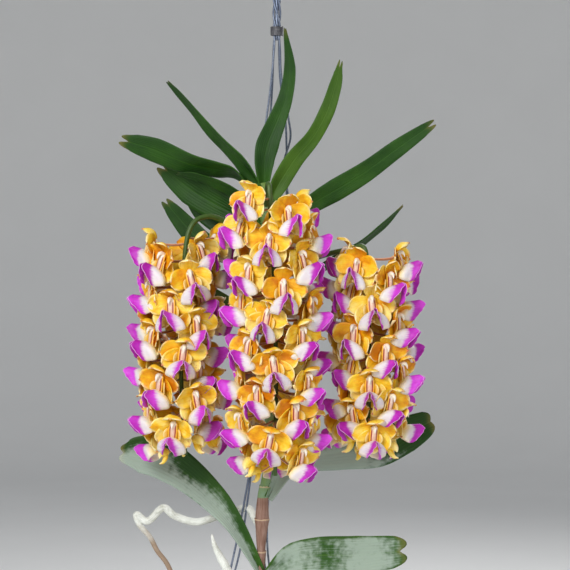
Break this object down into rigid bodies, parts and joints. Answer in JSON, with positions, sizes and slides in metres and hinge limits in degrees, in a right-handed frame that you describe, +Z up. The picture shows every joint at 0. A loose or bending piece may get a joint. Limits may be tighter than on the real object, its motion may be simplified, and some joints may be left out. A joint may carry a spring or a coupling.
{
  "type": "hanging orchid in slatted basket",
  "caption": "Flowering aerides orchid with pendulous racemes and strap leaves, growing in a slatted wooden basket hung on wires from a hook.",
  "frame": {"origin": "inside top of the hook, where the rail or nail that carries it passes", "axes": "+Z up; -Y is the front, where the racemes hang; +X to the right when seen from the front"},
  "size_m": [0.242, 0.1472, 0.6534],
  "materials": {
    "stem": "dry brown sheaths over a green stem",
    "leaf": "leathery satin green with pale mineral film on the lowest leaves",
    "flowers": "waxy orange-yellow with white and magenta lips",
    "root": "matt silvery white",
    "bark": "rough dark bark chips",
    "teak": "oiled teak, weathered",
    "wire": "dull galvanised wire"
  },
  "bodies": {
    "root": {"stem": "stem", "leaf_crown": "leaf", "leaf_upper_right": "leaf", "leaf_far_right": "leaf", "leaf_upper_left": "leaf", "leaf_far_left": "leaf", "leaf_broad_left": "leaf", "leaf_slender_left": "leaf", "leaf_shoulder_left": "leaf", "leaf_back_left": "leaf", "leaf_low_left": "leaf", "leaf_low_right": "leaf", "leaf_mid_right": "leaf", "leaf_lower_left": "leaf", "leaf_lower_right": "leaf", "raceme_left": "flowers", "raceme_middle": "flowers", "raceme_right": "flowers", "root_long_left": "root", "root_rising_left": "root", "root_into_bark_left": "root", "root_into_bark_front": "root", "root_into_bark_back": "root", "bark_medium": "bark", "slat_1_a": "teak", "slat_1_b": "teak", "slat_2_a": "teak", "slat_2_b": "teak", "slat_3_a": "teak", "slat_3_b": "teak", "slat_4_a": "teak", "slat_4_b": "teak", "slat_5_a": "teak", "slat_5_b": "teak", "slat_6_a": "teak", "slat_6_b": "teak", "slat_7_a": "teak", "slat_7_b": "teak", "slat_8_a": "teak", "slat_8_b": "teak", "floor_slat_1": "teak", "floor_slat_2": "teak", "floor_slat_3": "teak", "floor_slat_4": "teak", "floor_slat_5": "teak", "wire_back_left": "wire", "wire_front_left": "wire", "wire_front_right": "wire", "wire_back_right": "wire", "hook": "wire", "tie_band": "wire"}
  },
  "joints": []
}
